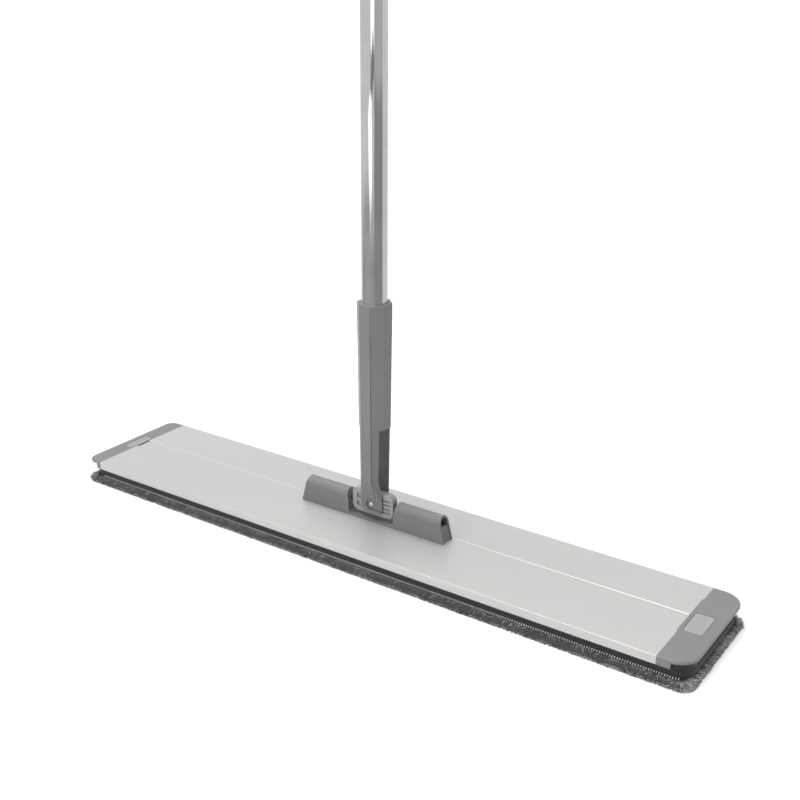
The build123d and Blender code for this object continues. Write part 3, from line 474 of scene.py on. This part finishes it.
# ---- pad cloth -----------------------------------------------------------------------------
cloth_levels = [
    (4.3, -4.0), (4.5, -1.0), (5.0, -0.35), (5.8, 0.05), (7.6, 0.25), (9.6, 0.25), (10.9, 0.05),
    (11.2, -0.3), (11.5, 0.0), (12.1, 0.1), (12.6, -0.1), (12.95, -0.8), (13.0, -6.0),
]
cloth = rounded_slab("pad_cloth", *CLOTH_HALF, CLOTH_CORNER, cloth_levels)
apply_modifier(cloth, "SUBSURF", levels=1, render_levels=1)
smooth(cloth, 60)
finish_piece(cloth, "black_backing", "mop_plate", None, "pad_backing")

# turned-up cloth edge that closes the space under the overhang of the right cap
RIM_INSET = 0.6 * MM
RIM_OVERLAP = 1.5 * MM                   # how far the turned-up edge reaches down into the cloth
RIM_RISES = (1.5, 1.3, 1.5, 1.2, 1.1)    # heights of its rows of faces, in millimetres
RIM_THICKNESS = 1.0 * MM
RIM_BEVEL = 0.3 * MM
rim = start_piece(
    "cloth_rim", bpy.ops.mesh.primitive_plane_add,
    size=2.0, location=(*PAD_CENTRE, CLOTH_TOP - RIM_OVERLAP),
)
rim.scale = (CLOTH_HALF[0] - RIM_INSET, CLOTH_HALF[1] - RIM_INSET, 1.0)
settle(rim)
bpy.ops.object.mode_set(mode="EDIT")
bpy.ops.mesh.select_all(action="SELECT")
bpy.ops.mesh.bevel(offset=CLOTH_CORNER, segments=CORNER_SEGMENTS, affect="VERTICES")
bpy.ops.mesh.delete(type="ONLY_FACE")
bpy.ops.mesh.select_all(action="SELECT")
bpy.ops.mesh.bisect(
    plane_co=(plate_high.x + CAP_FOOT, 0, 0), plane_no=(1, 0, 0), clear_inner=True, clear_outer=False
)
for rise in RIM_RISES:
    bpy.ops.object.mode_set(mode="OBJECT")
    top = max(vertex.co.z for vertex in rim.data.vertices)
    bpy.ops.object.mode_set(mode="EDIT")
    pick_edges(rim, lambda first, second: min(first.z, second.z) > top - 0.1 * MM)
    bpy.ops.mesh.extrude_region_move(TRANSFORM_OT_translate={"value": (0, 0, rise * MM)})
bpy.ops.mesh.select_all(action="SELECT")
bpy.ops.mesh.normals_make_consistent(inside=False)
bpy.ops.object.mode_set(mode="OBJECT")
apply_modifier(rim, "SOLIDIFY", thickness=RIM_THICKNESS, offset=-1.0, use_even_offset=True)
apply_modifier(
    rim, "BEVEL", width=RIM_BEVEL, segments=2, limit_method="ANGLE", angle_limit=math.radians(50)
)
smooth(rim, 50)
finish_piece(rim, "black_backing", "mop_plate")

# ---- pile ----------------------------------------------------------------------------------
# painted shade: the pile core under the strands is coloured near the darkest yarn tone, standing for the
# shade deep in the pile
PAINTED_CORE_SHADE = 0.02                         # the ground between the strands is dark
core_levels = [
    (1.0, -9.0), (0.7, -5.0), (1.2, -3.2), (2.2, -2.4), (3.3, -3.0), (4.2, -4.6), (4.5, -7.0), (4.6, -12.0),
]
core = rounded_slab("pile_core", *PILE_HALF, PILE_CORNER, core_levels)
apply_modifier(core, "SUBSURF", levels=1, render_levels=1)
smooth(core, 60)
core_shade = core.data.attributes.new("tint", "FLOAT", "POINT")
core_shade.data.foreach_set("value", np.full(len(core.data.vertices), PAINTED_CORE_SHADE, np.float32))
finish_piece(core, "grey_microfibre", "mop_plate", None, "pad_pile")

strand = yarn_pattern("strand_pattern", rings=(0.3, 0.65), widths=(1.0, 1.15, 0.85, 0.3), sides=3)
TOP_ROW_INSET, FOOT_ROW_INSET = 8.8, 3.6        # how far inside the outline the roots stand, in millimetres
TOP_ROW_HEIGHT, FOOT_ROW_HEIGHT = 4.7, 1.1      # and how high above the floor


def plant_strands(name, along, depth, seed, length, width, droop, spread, tilt, tone_and_painted_light):
    """Strands round the outline: depth is 0 at the top inner row of the pile and 1 at its foot."""
    random = np.random.default_rng(seed)
    count = len(along)
    points, outward, total = rim_point(along, *PILE_HALF, PILE_CORNER)
    sideways = np.stack([-outward[:, 1], outward[:, 0]], 1)
    curl = wander(along, total, (9 * MM, 23 * MM), 5) * 0.6 + random.normal(0, spread, count)
    inset = TOP_ROW_INSET - (TOP_ROW_INSET - FOOT_ROW_INSET) * depth
    back = inset * MM + random.uniform(-0.5, 0.5, count) * MM
    fall = (TOP_ROW_HEIGHT - FOOT_ROW_HEIGHT) * depth ** 1.3
    high = (TOP_ROW_HEIGHT - fall) * MM + random.uniform(-0.3, 0.3, count) * MM
    roots = np.column_stack([points - outward * back[:, None], high])
    drop = (0.5 * tilt + tilt * depth) + random.normal(0, 0.12, count)
    headings = np.column_stack([
        outward * np.cos(curl)[:, None] + sideways * np.sin(curl)[:, None], -drop,
    ])
    headings /= np.linalg.norm(headings, axis=1)[:, None]
    reach = np.clip(random.normal(length, 0.14 * length, count), 0.55 * length, 1.3 * length)
    room = back - 0.3 * MM + random.uniform(-0.8, 0.3, count) * MM
    reach = np.minimum(reach, room / np.maximum((headings[:, :2] * outward).sum(1), 0.35))
    thick = random.uniform(0.75, 1.25, count) * width
    bend = random.normal(0, 0.16, count) * reach
    sag = droop * random.uniform(0.5, 1.5, count) * reach
    patches = 0.22 * wander(along, total, (6 * MM, 31 * MM), 9)
    # each strand's tone; the end fringes' larger lift is painted light
    tones = np.clip(0.46 + tone_and_painted_light + patches + random.normal(0, 0.36, count), 0.0, 1.0)

    def build(shape):
        flat = np.column_stack([-headings[:, 1], headings[:, 0], np.zeros(count)])
        flat /= np.linalg.norm(flat, axis=1)[:, None]
        top = np.cross(headings, flat)
        s = shape[None, :, 2, None]
        spot = roots[:, None] + headings[:, None] * reach[:, None, None] * s
        aside = bend[:, None, None] * s * s + shape[None, :, 0, None] * thick[:, None, None]
        spot = spot + flat[:, None] * aside
        spot = spot + top[:, None] * shape[None, :, 1, None] * thick[:, None, None]
        spot = spot - np.array(UP) * sag[:, None, None] * s * s
        spot[..., 2] = np.maximum(spot[..., 2], 0.12 * MM)
        # painted shade: each strand is darker towards its root, standing for the shade deep in the pile
        tints = tones[:, None] * (0.5 + 0.6 * shape[None, :, 2])
        return spot, tints

    piece = copies_of(strand, name, build)
    return finish_piece(piece, "grey_microfibre", "mop_plate")


def fringe(name, start, stop, rows, pitch, seed, **style):
    random = np.random.default_rng(seed)
    along, depth = [], []
    for row in range(rows):
        places = np.arange(start, stop, pitch)
        along.append(places + random.uniform(-0.5, 0.5, len(places)) * pitch)
        depth.append(np.full(len(places), row / (rows - 1)) + random.uniform(-0.5, 0.5, len(places)) / rows)
    depth = np.clip(np.concatenate(depth), 0, 1)
    return plant_strands(name, np.concatenate(along), depth, seed, **style)


RUN_X = 2 * (PILE_HALF[0] - PILE_CORNER)
RUN_Y = 2 * (PILE_HALF[1] - PILE_CORNER)
ARC = PILE_CORNER * math.pi / 2
LONG_ROWS, LONG_PITCH = 10, 0.82 * MM
END_ROWS, END_PITCH = 11, 0.72 * MM
RIGHT_START = RUN_X + ARC / 2
BACK_START = RIGHT_START + ARC + RUN_Y
LEFT_START = BACK_START + RUN_X + ARC
LEFT_STOP = LEFT_START + ARC + RUN_Y
long_style = dict(length=4.6 * MM, width=0.8 * MM, droop=0.16, spread=1.0, tilt=0.3, tone_and_painted_light=0.14)
# painted light: the end fringes are coloured paler than the long sides, standing for the light on the ends
# of the pad
end_style = dict(length=6.8 * MM, width=0.95 * MM, droop=0.02, spread=0.5, tilt=0.06, tone_and_painted_light=0.34)
fringe("pile_fringe_front", -ARC / 2, RIGHT_START, LONG_ROWS, LONG_PITCH, seed=11, **long_style)
fringe("pile_fringe_right", RIGHT_START, BACK_START, END_ROWS, END_PITCH, seed=12, **end_style)
fringe("pile_fringe_back", BACK_START, LEFT_START, LONG_ROWS, LONG_PITCH, seed=13, **long_style)
fringe("pile_fringe_left", LEFT_START, LEFT_STOP, END_ROWS, END_PITCH, seed=14, **end_style)


# ---- underside tufts -----------------------------------------------------------------------
TUFT_PITCH = 3.1 * MM
TUFT_MARGIN = 7 * MM
TUFT_ROOT = 1.6 * MM
TUFT_LENGTH = 1.9 * MM
TUFT_WIDTH = 2.7 * MM


def tuft_field():
    random = np.random.default_rng(21)
    xs = np.arange(-PILE_HALF[0] + TUFT_MARGIN, PILE_HALF[0] - TUFT_MARGIN, TUFT_PITCH)
    ys = np.arange(-PILE_HALF[1] + TUFT_MARGIN, PILE_HALF[1] - TUFT_MARGIN, TUFT_PITCH)
    grid = np.array([(x + (row % 2) * TUFT_PITCH / 2, y) for row, y in enumerate(ys) for x in xs])
    grid = grid + random.uniform(-0.7, 0.7, grid.shape) * MM + np.array(PAD_CENTRE)
    count = len(grid)

    def build(shape):
        heading = np.column_stack([random.normal(0, 0.55, (count, 2)), -np.ones(count)])
        heading /= np.linalg.norm(heading, axis=1)[:, None]
        roots = np.column_stack([grid, np.full(count, TUFT_ROOT)])
        s = shape[None, :, 2, None]
        spot = roots[:, None] + heading[:, None] * TUFT_LENGTH * s
        spot = spot + np.concatenate([shape[:, :2], np.zeros((len(shape), 1))], 1)[None] * TUFT_WIDTH
        spot[..., 2] = np.maximum(spot[..., 2], 0.1 * MM)
        tones = np.clip(random.normal(0.45, 0.16, count), 0, 1)
        # painted shade: each tuft is darker towards its root at the cloth
        return spot, tones[:, None] * (0.4 + 0.7 * shape[None, :, 2])

    piece = copies_of(tuft, "pile_underside", build)
    return finish_piece(piece, "grey_microfibre", "mop_plate")


tuft = yarn_pattern("tuft_pattern", rings=(0.6,), widths=(1.1, 1.0, 0.45), sides=5)
tuft_field()

# ---- stitching -----------------------------------------------------------------------------
CORNER_STITCHES = 6 * MM                 # how far a row runs on round its corner
stitch = yarn_pattern("stitch_pattern", rings=(0.25, 0.75), widths=(0.45, 1.0, 1.0, 0.45), sides=5)


def stitch_row(name, finish, slot, low, high, shift, pitch, width, rise, seed):
    """Stitches along both long edges of the cloth, from low to high, shifted along."""
    random = np.random.default_rng(seed)
    total = rim_point(np.zeros(1), *CLOTH_HALF, CLOTH_CORNER)[2]
    run = 2 * (CLOTH_HALF[0] - CLOTH_CORNER)
    along = np.arange(0, run + CORNER_STITCHES, pitch)
    along = np.concatenate([along, along + total / 2 - CORNER_STITCHES])
    count = len(along)

    def build(shape):
        s = shape[None, :, 2]
        where = (along[:, None] + shift * s + random.uniform(-0.06, 0.06, (count, 1)) * pitch).ravel()
        points, outward, _ = rim_point(where, *CLOTH_HALF, CLOTH_CORNER)
        heights = low + (high - low) * s + random.uniform(-0.1, 0.1, (count, 1)) * MM
        stand = rise * np.sin(math.pi * s) + shape[None, :, 1] * width
        stand = np.broadcast_to(stand, (count, len(shape))).ravel()
        tilt = np.arctan2(high - low, shift)
        sideways = np.stack([-outward[:, 1], outward[:, 0]], 1)
        across = np.broadcast_to(shape[None, :, 0] * width, (count, len(shape))).ravel()
        flat = points + outward * stand[:, None] - sideways * (across * math.sin(tilt))[:, None]
        spot = np.column_stack([flat, heights.ravel() + across * math.cos(tilt)])
        tones = random.uniform(0.6, 1.0, (count, 1)) * np.ones((1, len(shape)))
        return spot.reshape(count, len(shape), 3), tones

    piece = copies_of(stitch, name, build)
    return finish_piece(piece, finish, "mop_plate", slot)


stitch_row(
    "overlock_stitches", "thread", "grey_microfibre", low=4.2 * MM, high=6.5 * MM,
    shift=1.0 * MM, pitch=2.3 * MM, width=0.85 * MM, rise=0.75 * MM, seed=31,
)
stitch_row(
    "binding_stitches", "dark_thread", "black_backing", low=11.2 * MM, high=11.25 * MM,
    shift=2.6 * MM, pitch=3.5 * MM, width=0.4 * MM, rise=0.12 * MM, seed=32,
)

for pattern in (strand, tuft, stitch):
    bpy.data.objects.remove(pattern)

# ---- floor, light and camera ---------------------------------------------------------------
FLOOR_SIZE = 40.0
floor = start_piece(
    "floor", bpy.ops.mesh.primitive_plane_add, size=FLOOR_SIZE, location=(0, 0, -0.1 * MM)
)
settle(floor)
floor_paint = Paint("floor", (0.9, 0.9, 0.9), Roughness=0.9, Specular_IOR_Level=0.1)
clouds = floor_paint.noise(2.0)
floor_paint.drive("Base Color", floor_paint.ramp(clouds, (0.2, (0.93,) * 3), (0.8, (0.95,) * 3)))
floor.data.materials.append(floor_paint.material)


def sun(name, place, spread, power):
    data = bpy.data.lights.new(name, "SUN")
    data.angle = math.radians(spread)
    data.energy = power
    lamp = bpy.data.objects.new(name, data)
    lamp.location = place
    lamp.rotation_euler = (-Vector(place)).to_track_quat("-Z", "Y").to_euler()
    bpy.context.scene.collection.objects.link(lamp)


sun("key_light", place=(-0.5, 0.1, 2.6), spread=50, power=3.17)
sun("fill_light", place=(-0.31, -1.77, 0.75), spread=35, power=0.97)

# a round light tent that only glossy surfaces see, with the bands that polished metal shows
TENT_RADIUS = 0.75
TENT_HEIGHT = 1.6
tent = start_piece(
    "light_tent", bpy.ops.mesh.primitive_cylinder_add, vertices=96, radius=TENT_RADIUS,
    depth=TENT_HEIGHT, location=(0, 0, TENT_HEIGHT / 2), end_fill_type="NOTHING",
)
settle(tent)
tent_paint = Paint("light_tent", (0.0, 0.0, 0.0), Roughness=1.0, Specular_IOR_Level=0.0)
split = tent_paint.node("ShaderNodeSeparateXYZ", None, {0: tent_paint.place()})
east, north, tall = [Wire(tent_paint, split.socket.node.outputs[i]) for i in range(3)]
turned = tent_paint.node("ShaderNodeMath", {"operation": "ARCTAN2"}, {0: north, 1: east})
ripple = tent_paint.noise(2.6, 3.0, (1.0, 1.0, 2.0), 0.6) - 0.5
place_round = turned * (1 / (2 * math.pi)) + 0.5


def fade(value, start, end):
    """0 where the value is below start and 1 where it is above end."""
    return tent_paint.node(
        "ShaderNodeMapRange", {"interpolation_type": "SMOOTHSTEP"},
        {"Value": value, "From Min": start, "From Max": end, "To Min": 0.0, "To Max": 1.0},
    )


def band(centre, half, soft, wobble):
    """1 within half a turn-share of the centre, fading over soft."""
    return 1 - fade((place_round + ripple * wobble - centre).size() - half, 0.0, soft)


TENT_LEVEL = 0.64
LEFT_DROP, LOW_DROP, RIGHT_DROP = 0.26, 0.30, 0.37
UPPER_RETURN = 0.18                      # how much of the right band's drop is missing higher up
STREAK_LIFT, BREAK_DROP = 0.92, 0.42
high = fade(tall, 0.10, 0.24)
upper = fade(tall + ripple * 0.06, 0.33, 0.38)
gap = (tall - 0.365).size()
broken = fade(gap + ripple * 0.25, 0.03, 0.05)
grey_left = band(0.18, half=0.075, soft=0.015, wobble=0.10) * (1 - fade(tall + ripple * 0.15, 0.17, 0.27))
streak = band(upper * 0.06 + 0.25, half=high * 0.038, soft=0.008, wobble=0.05) * high
dark_right = band(0.450, half=0.100, soft=0.008, wobble=0.02)
low_side = band(0.20, half=0.20, soft=0.02, wobble=0.05) * (1 - fade(tall + ripple * 0.1, 0.08, 0.26))
level = TENT_LEVEL - grey_left * LEFT_DROP
level = level - low_side * (1 - grey_left) * (1 - dark_right) * LOW_DROP
level = level - dark_right * (RIGHT_DROP - upper * UPPER_RETURN)
level = level + streak * broken * STREAK_LIFT
level = level - streak * (1 - broken) * BREAK_DROP
glow = tent_paint.node("ShaderNodeCombineXYZ", None, {0: level, 1: level, 2: level})
tent_paint.drive("Emission Color", glow)
tent_paint.shader.inputs["Emission Strength"].default_value = 1.0
tent.data.materials.append(tent_paint.material)
for kind in ("camera", "diffuse", "shadow", "transmission", "volume_scatter"):
    setattr(tent, "visible_" + kind, False)

AMBIENT = (0.19, 0.195, 0.2, 1.0)
BACKDROP = (0.93, 0.93, 0.93, 1.0)
world = bpy.data.worlds.new("studio")
bpy.context.scene.world = world
world.use_nodes = True
sky = world.node_tree
seen = sky.nodes.new("ShaderNodeLightPath")
pale = sky.nodes.new("ShaderNodeMix")
pale.data_type = "RGBA"
pale.inputs[6].default_value = AMBIENT
pale.inputs[7].default_value = BACKDROP
sky.links.new(seen.outputs["Is Camera Ray"], pale.inputs[0])
sky.links.new(pale.outputs[2], sky.nodes["Background"].inputs["Color"])

CAMERA_PLACE = (0.6023, -0.83847, 0.55182)
YAW, PITCH, ROLL = (math.radians(angle) for angle in (34.352, 21.377, 0.387))
LENS = 52.215
camera_data = bpy.data.cameras.new("camera")
camera = bpy.data.objects.new("camera", camera_data)
bpy.context.scene.collection.objects.link(camera)
camera_data.sensor_width = 36.0
camera_data.lens = LENS
camera_data.clip_end = 100.0
camera.matrix_world = (
    Matrix.Translation(CAMERA_PLACE)
    @ Matrix.Rotation(YAW, 4, "Z")
    @ Matrix.Rotation(math.pi / 2 - PITCH, 4, "X")
    @ Matrix.Rotation(ROLL, 4, "Z")
)
bpy.context.scene.camera = camera
bpy.context.scene.view_settings.view_transform = "Standard"
